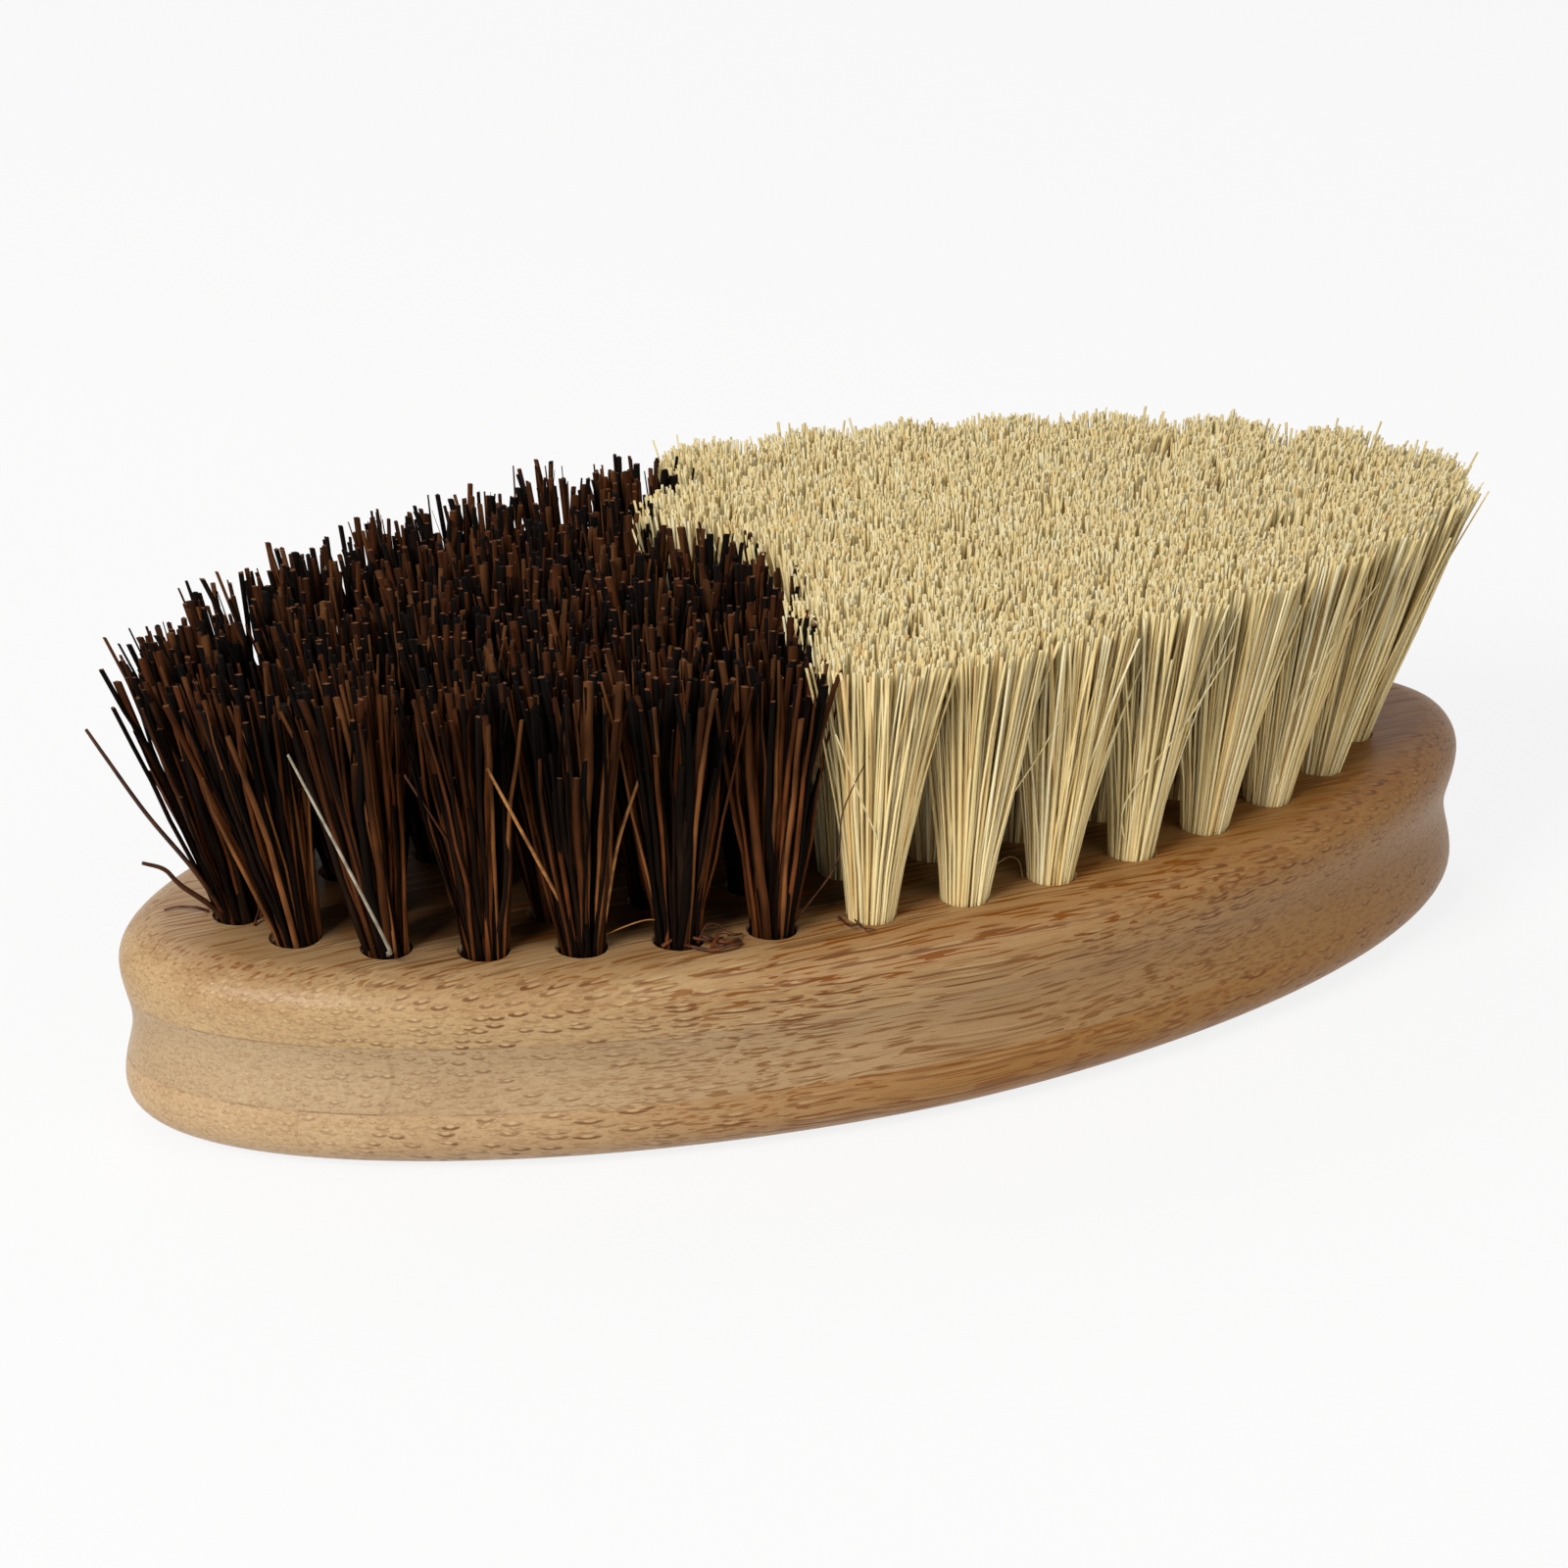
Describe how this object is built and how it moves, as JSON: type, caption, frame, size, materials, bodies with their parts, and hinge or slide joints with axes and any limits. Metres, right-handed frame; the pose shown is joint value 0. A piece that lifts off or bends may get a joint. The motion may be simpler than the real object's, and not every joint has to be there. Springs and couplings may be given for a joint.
{
  "type": "vegetable brush",
  "caption": "Oval laminated bamboo hand brush with stiff dark palm fibre tufts at one end and soft pale sisal tufts at the other, lying on its flat back.",
  "frame": {"origin": "middle of the flat back that the brush lies on", "axes": "+X along the block towards the sisal end, +Y across the block, +Z from the flat back towards the bristles"},
  "size_m": [0.13, 0.0582, 0.0435],
  "materials": {
    "bamboo": "satin",
    "bamboo_core": "satin",
    "palm_fibre": "matte",
    "sisal_fibre": "matte",
    "anchor_wire": "satin"
  },
  "bodies": {
    "root": {"bottom_board": "bamboo", "middle_board": "bamboo_core", "top_board": "bamboo", "tuft_anchors": "anchor_wire", "palm_edge_tuft_1": "palm_fibre", "palm_edge_tuft_2": "palm_fibre", "palm_edge_tuft_3": "palm_fibre", "palm_edge_tuft_4": "palm_fibre", "palm_edge_tuft_5": "palm_fibre", "palm_edge_tuft_6": "palm_fibre", "palm_edge_tuft_7": "palm_fibre", "palm_edge_tuft_8": "palm_fibre", "palm_edge_tuft_9": "palm_fibre", "palm_edge_tuft_10": "palm_fibre", "palm_edge_tuft_11": "palm_fibre", "palm_edge_tuft_12": "palm_fibre", "palm_edge_tuft_13": "palm_fibre", "palm_edge_tuft_14": "palm_fibre", "sisal_edge_tuft_1": "sisal_fibre", "sisal_edge_tuft_2": "sisal_fibre", "sisal_edge_tuft_3": "sisal_fibre", "sisal_edge_tuft_4": "sisal_fibre", "sisal_edge_tuft_5": "sisal_fibre", "sisal_edge_tuft_6": "sisal_fibre", "sisal_edge_tuft_7": "sisal_fibre", "sisal_edge_tuft_8": "sisal_fibre", "sisal_edge_tuft_9": "sisal_fibre", "sisal_edge_tuft_10": "sisal_fibre", "sisal_edge_tuft_11": "sisal_fibre", "sisal_edge_tuft_12": "sisal_fibre", "sisal_edge_tuft_13": "sisal_fibre", "sisal_edge_tuft_14": "sisal_fibre", "sisal_edge_tuft_15": "sisal_fibre", "sisal_edge_tuft_16": "sisal_fibre", "palm_side_tuft_1": "palm_fibre", "palm_side_tuft_2": "palm_fibre", "palm_side_tuft_3": "palm_fibre", "palm_side_tuft_4": "palm_fibre", "palm_side_tuft_5": "palm_fibre", "palm_side_tuft_6": "palm_fibre", "sisal_side_tuft_1": "sisal_fibre", "sisal_side_tuft_2": "sisal_fibre", "sisal_side_tuft_3": "sisal_fibre", "sisal_side_tuft_4": "sisal_fibre", "sisal_side_tuft_5": "sisal_fibre", "sisal_side_tuft_6": "sisal_fibre", "sisal_side_tuft_7": "sisal_fibre", "sisal_side_tuft_8": "sisal_fibre", "sisal_side_tuft_9": "sisal_fibre", "sisal_side_tuft_10": "sisal_fibre", "palm_core_row_1": "palm_fibre", "palm_core_row_2": "palm_fibre", "sisal_core_row_1": "sisal_fibre", "sisal_core_row_2": "sisal_fibre"}
  },
  "joints": []
}
